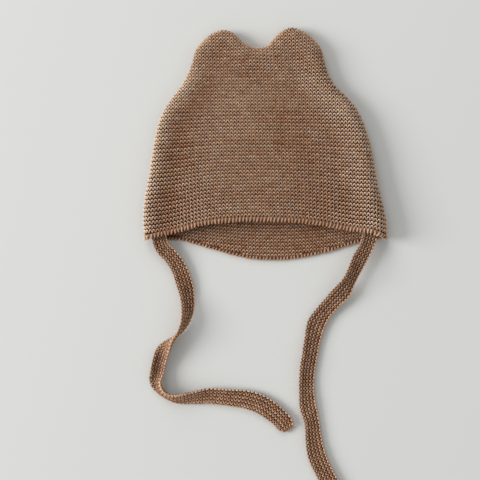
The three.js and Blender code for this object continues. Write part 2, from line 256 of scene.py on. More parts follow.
def loopShape(phase, vary, swingWidth, size):
    # The yarn leans forward and back as the sine of twice its phase, swings sideways as the cosine
    # of the phase, and stands out at both ends of each swing, a little more at the upper end.
    leanShare, middleShare, liftShare, radiusShare = yarn["unevenShares"]
    lean = yarn["overhang"] * np.sin(2 * phase) + yarn["headroom"] * np.sin(phase)
    lean = lean + leanShare * vary[0]
    swing = size * swingWidth * (np.cos(phase) * (1 + vary[1]) + middleShare * vary[2])
    lift = size * (yarn["arch"] * (np.cos(2 * phase) + liftShare * vary[3]))
    lift = lift + size * yarn["headRise"] * np.cos(phase)
    return lean, swing, lift, 1 + radiusShare * vary[3]


def loopedPath(place, facing, start, end, perStitch, rng, size):
    # A yarn looping along a ridge from one place to another, both counted in stitches.
    first = math.ceil(start * perStitch)
    last = math.floor(end * perStitch)
    u = np.arange(first, last + 1) / perStitch
    phase = 2 * np.pi * u
    knots = np.arange(math.floor(start) - 1, math.ceil(end) + 2, 0.5)
    vary = unevenLoops(u, knots, yarn["unevenness"], rng)
    lean, swing, lift, thickness = loopShape(phase, vary, yarn["swing"], size)
    at = np.clip(u + lean, start, end)
    centre = place(at, swing) + facing(at) * lift[:, None]
    radius = size * yarn["radius"] * (thickness + yarn["endSwell"] * np.cos(2 * phase))
    return u, centre, facing(at), radius, lift


def depthFor(lift, top, shade=0.0):
    # How far a point of the yarn lies below the top of its ridge, as a share of depthScale, which sets
    # its painted shade. The shade, one value for each ring, is more painted shade, added where the
    # whole yarn lies in a hollow.
    shade = np.broadcast_to(shade, lift.shape)

    def depthOf(i, above):
        return np.clip((top - lift[i] - above) / yarn["depthScale"] + shade[i], 0, 1)

    return depthOf


# The two ties, flat knitted straps from inside the mouth to their free ends: x, y and lift in
# millimetres, the twist in degrees, the width as a share and how far the strap lies as a trough,
# as a share. Lift is the height of the lowest edge above the surface.
tieSettings = {
    "width": 16.0,
    "thickness": 3.2,
    "standing": 1.5,  # blends width and thickness into the height of a turned stretch
    "squareness": 2.6,  # power of the flat oval that is its section
    "sectionSamples": 721,
    "tip": 7.0,  # length of the rounded free end
    "tipShare": 0.5,
    "curl": 2.2,  # how far both edges turn up on the side that faces the sky
    "troughCurl": 4.2,  # more of it where the strap lies as a trough
    "troughTurn": -34.0,  # degrees that it turns there besides
    "troughNarrow": 0.2,
    "ridgesRound": 10,  # ridges in the whole way round the section
    "yarnSides": 5,
    "perStitch": 8,
    "yarnRadius": 0.52,
    "yarnEnds": 0.2,  # how far the yarn keeps from both ends, in stitches and in millimetres
    "unevenness": 0.1,
    "swing": 1.02,
    "tone": 0.3,
    "curveSamples": 24,  # points of the smooth curve from one row of the table to the next
    "samples": 600,
    "turnScale": 0.2,  # keeps the degrees from swaying the smooth curve's knots
    "pathStep": 25,  # samples from one point of the path to the next
    "diameter": 0.0155,  # metres
    "selvedgeHighlight": 0.4,  # painted highlight: how much lighter the yarn is along both edges
    "selvedgeSwell": 0.2,  # and how much thicker
    "selvedgeFrom": (0.75, 0.97),  # where both come in, as shares of half the width
    # The core's depth is painted shade for the strap's inside.
    "core": {"steps": 150, "sides": 16, "inset": 1.6, "share": 0.7, "end": 0.5, "depth": 0.9},
}
leftTie = [
    (-82.6, 8.5, 3.2, 0, 0.75, 0),
    (-82, 0.5, 3.5, 0, 0.75, 0),
    (-79.5, -7.6, 3.4, -2, 0.74, 0),
    (-72.7, -15, 2, -6, 0.75, 0),
    (-66.9, -24.2, 1, -10, 0.79, 0),
    (-63.3, -34.8, 0.6, -16, 0.85, 0),
    (-61.2, -45.9, 0.5, -35, 0.84, 0),
    (-60.8, -56.5, 0.6, -49, 0.85, 0),
    (-62.6, -65.2, 0.8, -64, 0.85, 0),
    (-66.6, -73.3, 0.8, -80, 0.84, 0),
    (-72.6, -80.3, 0.6, -104, 0.84, 0),
    (-77.3, -87.7, 0.5, -133, 0.85, 0.4),
    (-81.7, -96.3, 0.4, -145, 0.85, 0.9),
    (-83.7, -105, 0.3, -148, 0.85, 0.9),
    (-82.9, -113.8, 0.3, -123, 0.74, 0.6),
    (-77.9, -121.3, 0.3, -112, 0.72, 0.1),
    (-68.7, -124.6, 0.2, -126, 0.82, 0),
    (-56, -123.7, 0.1, -141, 0.87, 0),
    (-43.6, -122.7, 0.1, -160, 0.88, 0),
    (-28.5, -124.3, 0.1, -172, 0.86, 0),
    (-14.1, -126.2, 0.1, -178, 0.96, 0),
    (-3.6, -129.7, 0.1, -180, 0.98, 0),
    (6.4, -136.1, 0.1, -180, 0.95, 0),
    (14.2, -143.3, 0.1, -180, 0.92, 0),
    (18.8, -150.6, 0.1, -180, 0.91, 0),
]
rightTie = [
    (82.4, 8.5, 3.2, 0, 0.75, 0),
    (81.9, 1.5, 3.6, -2, 0.75, 0),
    (78.5, -7.2, 4.2, -12, 0.74, 0),
    (73.3, -16.3, 4.8, -20, 0.81, 0),
    (68.6, -25.3, 4.8, -34, 0.82, 0),
    (64.4, -33.6, 4.6, -36, 0.84, 0),
    (59.9, -41.2, 3.6, -20, 0.95, 0),
    (53, -49.1, 2, -14, 0.85, 0),
    (45.6, -58, 0.7, -10, 0.82, 0),
    (40.3, -66.9, 0.2, -6, 0.93, 0),
    (37, -78.9, 0.1, -14, 0.845, 0),
    (34.5, -91.9, 0.1, -22, 0.86, 0),
    (32.5, -105, 0.1, -22, 0.83, 0),
    (32.3, -118, 0.1, -16, 0.79, 0),
    (33.5, -130.9, 0.1, -8, 0.845, 0),
    (36.4, -143.8, 0.1, -18, 0.79, 0),
    (37.9, -156.8, 0.1, -12, 0.85, 0),
    (40.8, -170, 0.1, -4, 0.92, 0),
    (46.1, -181.9, 0.1, 0, 0.9, 0),
    (52.3, -193.6, 0.1, 0, 0.9, 0),
    (58.5, -204.6, 0.1, 0, 0.9, 0),
    (64.6, -214.3, 0.1, 0, 0.9, 0),
]


def tieFrame(route, settings):
    # The strap's centre line with its two cross directions. The lowest edge of the turned section
    # stands at the lift that the route gives, and the turn is smoothed along with the place.
    route = np.array(route, float)
    turned = route[:, 3] + settings["troughTurn"] * route[:, 5]
    angle = np.radians(turned)
    reach = route[:, 4] * settings["width"] / 2 * np.abs(np.sin(angle))
    flat = settings["thickness"] / 2 * np.abs(np.cos(angle))
    power = settings["standing"]
    z = route[:, 2] + (reach**power + flat**power) ** (1 / power)
    turnScale = settings["turnScale"]
    rows = np.column_stack([route[:, 0], route[:, 1], z, turnScale * turned, route[:, 4:6]])
    fine = smoothCurve(rows, settings["curveSamples"])
    lengths = lengthsAlong(fine[:, :3])
    at = np.linspace(0, lengths[-1], settings["samples"])
    centre = sampleAt(fine[:, :3], lengths, at)
    turn = np.radians(np.interp(at, lengths, fine[:, 3]) / turnScale)
    forward = unit(np.gradient(centre, axis=0) * [1, 1, 0])
    level = np.stack([-forward[:, 1], forward[:, 0], 0 * at], -1)
    across = level * np.cos(turn)[:, None] + np.outer(np.sin(turn), [0, 0, 1])
    through = np.cross(forward, across)
    left = np.clip((lengths[-1] - at) / settings["tip"], 0, 1)
    taper = np.maximum(np.sqrt(1 - (1 - left) ** 2), settings["tipShare"])
    trough = np.clip(np.interp(at, lengths, fine[:, 5]), 0, 1)
    width = np.interp(at, lengths, fine[:, 4]) * taper * (1 - settings["troughNarrow"] * trough)
    curl = np.cos(turn) * (settings["curl"] + settings["troughCurl"] * trough) * taper
    table = np.column_stack([centre, across, through, width, curl])
    return {"table": table, "centre": centre, "at": at, "length": lengths[-1]}


def sectionPoint(share, halfWidth, halfThick, settings):
    # A flat oval, the superellipse |x|^n + |y|^n = 1 with n its squareness, walked evenly by length.
    t = np.linspace(0, 2 * np.pi, settings["sectionSamples"])
    power = 2 / settings["squareness"]
    x = halfWidth * np.sign(np.cos(t)) * np.abs(np.cos(t)) ** power
    y = halfThick * np.sign(np.sin(t)) * np.abs(np.sin(t)) ** power
    lengths = lengthsAlong(np.column_stack([x, y]))
    at = (np.asarray(share) % 1) * lengths[-1]
    return np.interp(at, lengths, x), np.interp(at, lengths, y)


def tiePlace(line, at, x, y, settings):
    # Places section points on the strap. Both edges turn up as the square of their distance from
    # the middle, on the side that faces the sky. Returns the points and the two directions.
    row = sampleAt(line["table"], line["at"], at)
    centre, across, through = row[..., 0:3], row[..., 3:6], row[..., 6:9]
    bend = row[..., 10] * (2 * x / settings["width"]) ** 2
    points = centre + across * (x * row[..., 9])[..., None] + through * (y + bend)[..., None]
    points[..., 2] = np.maximum(points[..., 2], settings["yarnRadius"])
    return points, across, through


def tieRidge(line, share, settings, rng):
    # One ridge of the strap, which runs along its whole length at a given share of the way round
    # the section. It loops as the ridges of the crown do.
    radius = settings["yarnRadius"]
    halfWidth = settings["width"] / 2 - radius
    halfThick = settings["thickness"] / 2 - radius
    stitches = line["length"] / yarn["stitch"]
    ends = settings["yarnEnds"]
    u = np.arange(ends, stitches - ends, 1 / settings["perStitch"])
    knots = np.arange(-0.5, stitches + 1, 0.5)
    vary = unevenLoops(u, knots, settings["unevenness"], rng)
    lean, swing, lift, thickness = loopShape(2 * np.pi * u, vary, settings["swing"], 1)
    at = np.clip((u + lean) * yarn["stitch"], ends, line["length"] - ends)
    turned = share + swing / (settings["ridgesRound"] * yarn["ridge"])
    x, y = sectionPoint(turned, halfWidth, halfThick, settings)
    outward = unit(np.column_stack([x / halfWidth**2, y / halfThick**2]))
    liftedX, liftedY = x + outward[:, 0] * lift, y + outward[:, 1] * lift
    centre, across, through = tiePlace(line, at, liftedX, liftedY, settings)
    normal = across * outward[:, :1] + through * outward[:, 1:]
    edge = smoothStep(np.abs(x) / halfWidth, *settings["selvedgeFrom"])
    size = radius * (thickness + settings["selvedgeSwell"] * edge)
    slow = np.interp(u, knots[::2], rng.normal(0, yarn["toneVary"], len(knots[::2])))
    # Painted highlight along both edges of the strap.
    tone = settings["tone"] + slow + settings["selvedgeHighlight"] * edge
    depthOf = depthFor(lift, radius + yarn["arch"] + yarn["headRise"])
    return sweepYarn(centre, normal, size, settings["yarnSides"], False, tone, depthOf)


def tieCore(line, settings):
    # The inside of the strap, a flat tube just under its ridges, darkened with painted shade.
    core = settings["core"]
    at = np.linspace(0, line["length"] - core["end"], core["steps"])
    share = (np.arange(core["sides"]) + 0.5) / core["sides"]
    halfWidth = settings["width"] / 2 - core["inset"] * settings["yarnRadius"]
    halfThick = (settings["thickness"] / 2 - settings["yarnRadius"]) * core["share"]
    x, y = sectionPoint(share, halfWidth, halfThick, settings)
    ones = np.ones((core["steps"], core["sides"]))
    rings = tiePlace(line, at[:, None] * ones, ones * x, ones * y, settings)[0]
    return ringTube(rings, groundTone, core["depth"])


def tieParts(line, settings, seed):
    rng = np.random.default_rng(seed)
    shares = np.arange(settings["ridgesRound"]) / settings["ridgesRound"]
    parts = [tieRidge(line, share, settings, rng) for share in shares]
    return parts + [tieCore(line, settings)]


# Materials

finish = {
    "light": (233, 196, 166),  # colour at tone 1
    "mid": (180, 122, 82),  # colour at tone 0
    "dark": (62, 24, 6),  # colour of the painted shade deep between the loops
    "toneRange": (-0.3, 1.6),
    "heather": 0.9,  # darker and lighter wool in blotches of about a millimetre
    "heatherScale": 700,
    "heatherDetail": 3,
    "drift": 0.12,  # slow change of tone over the whole piece
    "driftScale": 28,
    "driftDetail": 2,
    "plyTwist": 0.55,  # turns of the two plies in each millimetre of yarn
    "plyRelief": 0.35,
    "fibreScale": 2600,
    "fibreDetail": 4,
    "bumpStrength": 0.6,
    "bumpDistance": 0.0002,
    "roughness": 0.92,
    "specular": 0.05,
    "sheen": 0.3,  # fades to none with the painted shade in the hollows
    "sheenRoughness": 0.5,
    "sheenTint": (245, 225, 205),
}


def linear(colour):
    c = np.array(colour) / 255
    c = np.where(c <= 0.04045, c / 12.92, ((c + 0.055) / 1.055) ** 2.4)
    return (*c.tolist(), 1.0)


def addNode(tree, kind, **values):
    node = tree.nodes.new(kind)
    for key, value in values.items():
        setattr(node, key, value)
    return node


def setInputs(tree, sockets, values):
    # Links each socket to another node's output, or gives it a fixed value.
    for socket, value in zip(sockets, values):
        if isinstance(value, bpy.types.NodeSocket):
            tree.links.new(value, socket)
        else:
            socket.default_value = value


def mathNode(tree, operation, *values):
    node = addNode(tree, "ShaderNodeMath", operation=operation)
    setInputs(tree, node.inputs, values)
    return node.outputs[0]


def noiseNode(tree, scale, detail):
    node = addNode(tree, "ShaderNodeTexNoise")
    coords = addNode(tree, "ShaderNodeTexCoord")
    sockets = [node.inputs[name] for name in ("Vector", "Scale", "Detail")]
    setInputs(tree, sockets, (coords.outputs["Object"], scale, detail))
    return node.outputs["Fac"]


def mixNode(tree, factor, first, second, clamped):
    node = addNode(tree, "ShaderNodeMix", data_type="RGBA", clamp_factor=clamped)
    setInputs(tree, (node.inputs[0], node.inputs[6], node.inputs[7]), (factor, first, second))
    return node.outputs[2]


def woolColour(tree, settings, depth):
    # The yarn's own tone with heather and drift about it picks the wool between mid and light, and
    # painted shade darkens it towards the dark colour by its depth in the knit.
    tone = addNode(tree, "ShaderNodeAttribute", attribute_name="tone").outputs["Fac"]
    heather, drift = settings["heather"], settings["drift"]
    blotches = noiseNode(tree, settings["heatherScale"], settings["heatherDetail"])
    varied = mathNode(tree, "MULTIPLY_ADD", blotches, heather, -heather / 2)
    varied = mathNode(tree, "ADD", varied, tone)
    clouds = noiseNode(tree, settings["driftScale"], settings["driftDetail"])
    varied = mathNode(tree, "MULTIPLY_ADD", clouds, drift, varied)
    varied = mathNode(tree, "SUBTRACT", varied, drift / 2)
    limited = addNode(tree, "ShaderNodeClamp")
    setInputs(tree, limited.inputs, (varied, *settings["toneRange"]))
    mid, light, dark = (linear(settings[name]) for name in ("mid", "light", "dark"))
    wool = mixNode(tree, limited.outputs[0], mid, light, False)
    return mixNode(tree, depth, wool, dark, True)


def yarnRelief(tree, settings):
    # Two plies twisted round each other, a sine wave of the place along and around the yarn, with
    # fine fibres over them.
    uv = addNode(tree, "ShaderNodeUVMap", uv_map="yarn")
    split = addNode(tree, "ShaderNodeSeparateXYZ")
    setInputs(tree, split.inputs, [uv.outputs["UV"]])
    along, around = split.outputs["X"], split.outputs["Y"]
    turns = mathNode(tree, "MULTIPLY_ADD", along, settings["plyTwist"], around)
    ply = mathNode(tree, "SINE", mathNode(tree, "MULTIPLY", turns, 4 * math.pi))
    fibres = noiseNode(tree, settings["fibreScale"], settings["fibreDetail"])
    relief = mathNode(tree, "MULTIPLY_ADD", ply, settings["plyRelief"], fibres)
    bump = addNode(tree, "ShaderNodeBump")
    sockets = [bump.inputs[name] for name in ("Height", "Strength", "Distance")]
    setInputs(tree, sockets, (relief, settings["bumpStrength"], settings["bumpDistance"]))
    return bump.outputs["Normal"]


def yarnMaterial(name, settings):
    material = bpy.data.materials.new(name)
    material.use_nodes = True
    tree = material.node_tree
    depth = addNode(tree, "ShaderNodeAttribute", attribute_name="depth").outputs["Fac"]
    sheen = settings["sheen"]
    values = {
        "Base Color": woolColour(tree, settings, depth),
        "Normal": yarnRelief(tree, settings),
        "Roughness": settings["roughness"],
        "Specular IOR Level": settings["specular"],
        # the sheen fades with the painted shade in the hollows
        "Sheen Weight": mathNode(tree, "MULTIPLY_ADD", depth, -sheen, sheen),
        "Sheen Roughness": settings["sheenRoughness"],
        "Sheen Tint": linear(settings["sheenTint"]),
    }
    shader = tree.nodes["Principled BSDF"]
    setInputs(tree, [shader.inputs[socket] for socket in values], values.values())
    return material


knitMaterial = yarnMaterial("garter_wool", finish)
print("materials made")


def makeTie(name, node, route, settings, seed):
    line = tieFrame(route, settings)
    parts = tieParts(line, settings, seed)
    tie = makeObject(name, parts, knitMaterial, [node])


makeTie("tie_left_strap", "tie_left", leftTie, tieSettings, seed=11)
makeTie("tie_right_strap", "tie_right", rightTie, tieSettings, seed=12)
print("ties made")


# The crown: its outline, the lie of its two panels and the lines of their ridges

crown = {
    "mouthWidth": 190.0,
    "crownHeight": 164.0,  # from the lower corners to the top of the taller ear
    "loft": 18.0,  # highest point of the front panel above the surface
    "frontRise": 13.0,  # how far the front edge curves up between the corners
    "flapDrop": 17.5,  # how far the neck flap reaches below the corners
    "seamHeight": 5.4,
    "sewnGap": 0.3,
    "bandHeight": 4.2,
    "leftRoll": 5.5,  # width of the round fold inside the left seam
    "rightRoll": 9.0,
    "leftFall": 14.0,  # from the crest of the left fold down to the panel
    "rightFall": 26.0,
    "crownDome": 1.6,
    "backRoll": 6.0,
    "fieldStep": 0.5,
    "fieldAcross": (-104.0, 104.0),
    "fieldUp": (-24.0, 170.0),
    "searchAcross": 103.0,  # the ends of each ridge are looked for this far out on both sides
    "searchSteps": 1650,
    "reachSteps": 200,
    "earRowsFrom": 105.0,
    "earRowsTo": 150.0,
    "earBend": 0.0027,  # rise of the ridges towards the outer side of the right ear
    "earBendFrom": 10.0,
    "dipBump": 1.3,  # how far the ridges bulge up under the dip between the ears
    "dipAcross": -7.0,
    "dipWidth": 12.0,
    "earSqueeze": 0.055,  # the ridges lie closer together above earSqueezeFrom
    "earSqueezeFrom": 100.0,
    "lean": 0.04,  # how far the columns of stitches lean to the left going up
    "leanSlack": 0.9,  # how much less they lean in the lower right corner
    "leanSlackAcross": 70.0,
    "leanFreeTo": 60.0,
    "unbrokenTo": 138.0,  # the ridges above this height meet the dip between the ears
    "topLevel": 0.5,  # how level the seam is where ridges follow it, 1 for fully
    "topShortest": 8,  # points of the seam line
    "earMiddles": (-33.0, 21.0),
    "dipSpan": (-25.0, 12.0),
    "paintedLightMeet": (-15.0, 15.0),  # where the left side's painted light and shade give way to the right side's
    "paintedLightFade": (112.0, 140.0),  # heights between which they weaken
    "paintedLightFadeShare": 0.75,
}
# Painted light and shade, in tone, at distances from the left and from the right seam: paler as a
# painted highlight on the rolled sides, darker as painted shade in the groove beside each roll.
leftPaintedLight = [
    (0, 1.25),
    (4, 0.85),
    (10, 0.1),
    (15, -0.22),
    (20, -0.22),
    (26, -0.08),
    (33, 0.04),
    (45, 0.1),
    (68, 0),
]
rightPaintedLight = [
    (0, 0.5),
    (7, 0.45),
    (13, 0.5),
    (20, 0.22),
    (28, -0.03),
    (40, -0.05),
    (51, -0.18),
    (63, -0.1),
    (80, 0),
]
# Up is a share of crownHeight, left and right are shares of half the mouth width.
seamSides = [
    (0, 0.986, 1.002),
    (0.04, 0.993, 1.004),
    (0.09, 0.998, 0.998),
    (0.185, 0.986, 0.961),
    (0.3, 0.949, 0.917),
    (0.415, 0.919, 0.883),
    (0.53, 0.88, 0.825),
    (0.615, 0.823, 0.757),
    (0.67, 0.758, 0.679),
    (0.73, 0.682, 0.575),
    (0.785, 0.63, 0.522),
    (0.852, 0.587, 0.488),
    (0.895, 0.565, 0.467),
    (0.94, 0.5, 0.41),
]
earLine = [
    (-0.438, 0.97),
    (-0.349, 0.988),
    (-0.267, 0.978),
    (-0.204, 0.948),
    (-0.156, 0.922),
    (-0.07, 0.907),
    (0.014, 0.913),
    (0.067, 0.943),
    (0.131, 0.98),
    (0.218, 1),
    (0.311, 0.983),
]
frontEdge = [
    (-0.82, 0.16),
    (-0.68, 0.4),
    (-0.54, 0.7),
    (-0.4, 0.88),
    (-0.2, 0.98),
    (0.03, 1),
    (0.25, 0.94),
    (0.45, 0.78),
    (0.6, 0.57),
    (0.74, 0.4),
    (0.88, 0.28),
]
flapEdge = [
    (-0.8, 0.1),
    (-0.68, 0.13),
    (-0.54, 0.34),
    (-0.4, 0.57),
    (-0.26, 0.78),
    (-0.11, 0.94),
    (0.08, 1),
    (0.24, 0.95),
    (0.45, 0.73),
    (0.6, 0.51),
    (0.74, 0.25),
    (0.88, 0.1),
]
# Up is a share of crownHeight; the crests and the knit between them are shares of loft.
lie = np.array(
    [
        (0.0, 0.8, 1.0, 0.7),
        (0.25, 0.76, 0.93, 0.67),
        (0.5, 0.71, 0.82, 0.63),
        (0.75, 0.66, 0.72, 0.58),
        (1.0, 0.6, 0.64, 0.53),
    ]
)

halfMouth = crown["mouthWidth"] / 2
height = crown["crownHeight"]
leftSide = [(-left * halfMouth, up * height) for up, left, right in seamSides]
rightSide = [(right * halfMouth, up * height) for up, left, right in seamSides][::-1]
overEars = [(across * halfMouth, up * height) for across, up in earLine]
seamPoints = leftSide + overEars + rightSide
seamSamples = 12  # points of the seam line from one seam point to the next
seamLine = smoothCurve(seamPoints, seamSamples)
seamLengths = lengthsAlong(seamLine)
corners = [seamPoints[0], seamPoints[-1]]
frontCurve = smoothCurve(
    [corners[0]]
    + [(across * halfMouth, rise * crown["frontRise"]) for across, rise in frontEdge]
    + [corners[1]]
)
flapCurve = smoothCurve(
    [corners[0]]
    + [(across * halfMouth, -drop * crown["flapDrop"]) for across, drop in flapEdge]
    + [corners[1]]
)


def makeDistanceField(settings):
    # Distance to the seam line on a square grid of the plane, positive inside the crown. The sign
    # tells on which side of its nearest stretch of the line a point lies.
    step = settings["fieldStep"]
    left, right = settings["fieldAcross"]
    low, high = settings["fieldUp"]
    xs = np.arange(left, right + step, step)
    ys = np.arange(low, high + step, step)
    a, b = seamLine[:-1], seamLine[1:]
    run = b - a
    field = np.zeros((len(ys), len(xs)))
    for row, y in enumerate(ys):
        px = xs[:, None] - a[None, :, 0]
        py = y - a[None, :, 1]
        share = np.clip((px * run[:, 0] + py * run[:, 1]) / (run**2).sum(1), 0, 1)
        gap = np.hypot(px - share * run[:, 0], py - share * run[:, 1])
        near = gap.argmin(1)
        pick = np.arange(len(xs))
        turn = run[near, 0] * py[0, near] - run[near, 1] * px[pick, near]
        field[row] = gap[pick, near] * np.where(turn < 0, 1, -1)
    return xs, ys, field


fieldX, fieldY, field = makeDistanceField(crown)
print("distance field made")


def seamDistance(x, y):
    # Bilinear reading of the distance field, kept just short of its last column and row.
    step = crown["fieldStep"]
    margin = 1.001
    gx = np.clip((x - fieldX[0]) / step, 0, len(fieldX) - margin)
    gy = np.clip((y - fieldY[0]) / step, 0, len(fieldY) - margin)
    i, j = gx.astype(int), gy.astype(int)
    s, t = gx - i, gy - j
    low = field[j, i] * (1 - s) + field[j, i + 1] * s
    high = field[j + 1, i] * (1 - s) + field[j + 1, i + 1] * s
    return low * (1 - t) + high * t


def frontHeight(x, y):
    # A quarter oval rises from the seam to a crest, half a cosine wave falls to the flatter knit,
    # and a quarter sine wave domes the middle.
    distance = np.maximum(seamDistance(x, y), 0)
    rightness = smoothStep(x, -halfMouth, halfMouth)
    up = np.clip(y / crown["crownHeight"], 0, 1)
    leftCrest, rightCrest, between = (
        crown["loft"] * np.interp(up, lie[:, 0], heights) for heights in lie[:, 1:].T
    )
    roll = crown["leftRoll"] + (crown["rightRoll"] - crown["leftRoll"]) * rightness
    fall = crown["leftFall"] + (crown["rightFall"] - crown["leftFall"]) * rightness
    crest = leftCrest + (rightCrest - leftCrest) * rightness
    base = crown["seamHeight"] + crown["sewnGap"] / 2
    rise = base + (crest - base) * np.sqrt(1 - (1 - np.clip(distance / roll, 0, 1)) ** 2)
    wave = (1 + np.cos(np.pi * np.clip((distance - roll) / fall, 0, 1))) / 2
    inner = np.clip((distance - roll - fall) / (halfMouth - roll - fall), 0, 1)
    flat = between + (crest - between) * wave + crown["crownDome"] * np.sin(np.pi / 2 * inner)
    return np.where(distance < roll, rise, flat)


def backHeight(x, y):
    # Flat on the surface, with a quarter-round rim turned up to the seam.
    distance = np.maximum(seamDistance(x, y), 0)
    share = np.clip(distance / crown["backRoll"], 0, 1)
    return (crown["seamHeight"] - crown["sewnGap"] / 2) * (1 - np.sqrt(1 - (1 - share) ** 2))


# Both panels of the crown. The front one is knitted on its outside and the back one on both sides.
groundGrid = {
    "columns": 110,
    "rows": 80,
    "crowd": 0.8,  # 0 spaces the grid evenly, 1 crowds it fully towards the seams
}
frontPanel = {
    "edge": frontCurve,
    "heightOf": frontHeight,
    "facing": 1,
    "ground": (1.25, 2.5),  # how far in the outer and inner side of the ground lie
    # painted shade of the ground sheet between the loops
    "groundShade": 0.95,
    "firstRow": 4.7,  # from the edge of the mouth to the middle of the first ridge
    "rows": {"reach": 122.0, "full": 6.0, "power": 1.6, "follow": 1.0, "clear": 3.9},
    "insets": (0.2, 1.3),  # extra ridges along the tops of the ears, in from the seam
    "yarn": {"offset": 0.5, "sides": 5, "perStitch": 8, "size": 1.0},
    "split": 62.0,  # its ridges are two pieces, below and above this height
}
backPanel = {
    "edge": flapCurve,
    "heightOf": backHeight,
    "facing": -1,
    "ground": (1.0, 1.7),
    # painted shade of the ground sheet between the loops
    "groundShade": 0.9,
    "firstRow": 3.6,
    "rows": {"reach": 60.0, "full": 0.0, "power": 1.2, "follow": 0.45, "clear": 2.5},
    "insets": (0.2, 1.3, 3.2),
    "yarn": {"offset": 0.72, "sides": 4, "perStitch": 6, "size": 0.95},
}
backInside = {
    **backPanel,
    "facing": 1,
    "yarn": {"offset": -2.0, "sides": 5, "perStitch": 8, "size": 1.0},
    "upTo": 30.0,  # only the ridges below this height are knitted inside
    "window": 88.0,  # and only this far out from the centre line
    # painted shade over all of the knit inside the mouth
    "darker": 0.12,
    "shadeEdge": frontCurve,
    "shade": 0.12,  # painted shadow just below the front edge
    "shadeReach": (0.5, 5.0),
}


def surface(x, y, panel):
    # Points and outward normals of a panel; the slope is measured over a fifth of a millimetre.
    heightOf = panel["heightOf"]
    reach = 0.1
    slopeX = (heightOf(x + reach, y) - heightOf(x - reach, y)) / (2 * reach)
    slopeY = (heightOf(x, y + reach) - heightOf(x, y - reach)) / (2 * reach)
    points = np.stack([x, y, heightOf(x, y)], -1)
    normals = panel["facing"] * unit(np.stack([-slopeX, -slopeY, np.ones_like(slopeX)], -1))
    return points, normals


def ridgeLine(x, base, panel):
    # A ridge keeps the shape of the mouth's edge below it, less and less with height, where base
    # is its height on the centre line. In the ears it bulges under the dip and bends up at right.
    rows, edge = panel["rows"], panel["edge"]
    line = np.interp(x, edge[:, 0], edge[:, 1])
    middle = np.interp(0.0, edge[:, 0], edge[:, 1])
    share = np.clip((rows["reach"] - base) / (rows["reach"] - middle - rows["full"]), 0, 1)
    follow = rows["follow"] * share ** rows["power"]
    ears = smoothStep(base, crown["earRowsFrom"], crown["earRowsTo"])
    bend = crown["earBend"] * np.maximum(x - crown["earBendFrom"], 0) ** 2
    bump = crown["dipBump"] * np.exp(-(((x - crown["dipAcross"]) / crown["dipWidth"]) ** 2))
    return base + (line - middle) * follow + ears * (bend + bump)


def ridgeBases(panel):
    # Heights of the ridges on the centre line, evenly spaced and a little closer in the ears.
    middle = np.interp(0.0, panel["edge"][:, 0], panel["edge"][:, 1])
    even = np.arange(middle + panel["firstRow"], crown["crownHeight"], yarn["ridge"])
    return even - crown["earSqueeze"] * np.maximum(even - crown["earSqueezeFrom"], 0)


def insideRuns(base, panel):
    # The stretches of a ridge inside the outline and clear of the ribbed edge, found where the
    # lesser of its distances to both changes sign.
    x = np.linspace(-crown["searchAcross"], crown["searchAcross"], crown["searchSteps"])
    y = ridgeLine(x, base, panel)
    above = y - np.interp(x, panel["edge"][:, 0], panel["edge"][:, 1]) - panel["rows"]["clear"]
    d = np.minimum(seamDistance(x, y), above)
    change = np.flatnonzero(np.diff(np.sign(d)) != 0)
    cross = x[change] + (x[change + 1] - x[change]) * d[change] / (d[change] - d[change + 1])
    return list(zip(cross[::2], cross[1::2]))


def reachTo(x, panel):
    # The length of the highest unbroken ridge from the centre line to x. Stitches are counted
    # from it, so that those of the ears stand in line with those below.
    across = np.linspace(0, x, crown["reachSteps"])
    points = surface(across, ridgeLine(across, crown["unbrokenTo"], panel), panel)[0]
    return np.sign(x) * lengthsAlong(points)[-1]


def stitchPlaces(points, lengths, panel):
    # Counts the stitches along a ridge from the reach of its middle. The columns of stitches lean
    # to the left going up, and less so in the lower right corner. A ridge that runs over the rim
    # of the dip between the ears is longer there, which is taken up between the two ears.
    x, y = points[:, 0], points[:, 1]
    half = len(lengths) // 2
    along = lengths - lengths[half] + reachTo(x[half], panel)
    ears = crown["earMiddles"]
    if y[half] > crown["unbrokenTo"] and x[0] < ears[0] and x[-1] > ears[1]:
        slip = [reachTo(ear, panel) - np.interp(ear, x, along) for ear in ears]
        along = along + np.interp(x, crown["dipSpan"], slip)
    slack = smoothStep(x, 0, crown["leanSlackAcross"]) * np.clip(y, 0, crown["leanFreeTo"])
    return (along + crown["lean"] * (y - crown["leanSlack"] * slack)) / yarn["stitch"]


def paintedLightAndShade(x, y):
    # Painted highlight on the rolled sides and painted shade in the shallow groove beside each roll.
    fold = seamDistance(x, y)
    left = np.interp(fold, *zip(*leftPaintedLight))
    right = np.interp(fold, *zip(*rightPaintedLight))
    rightness = smoothStep(x, *crown["paintedLightMeet"])
    fade = crown["paintedLightFadeShare"] * smoothStep(y, *crown["paintedLightFade"])
    return (left + (right - left) * rightness) * (1 - fade)


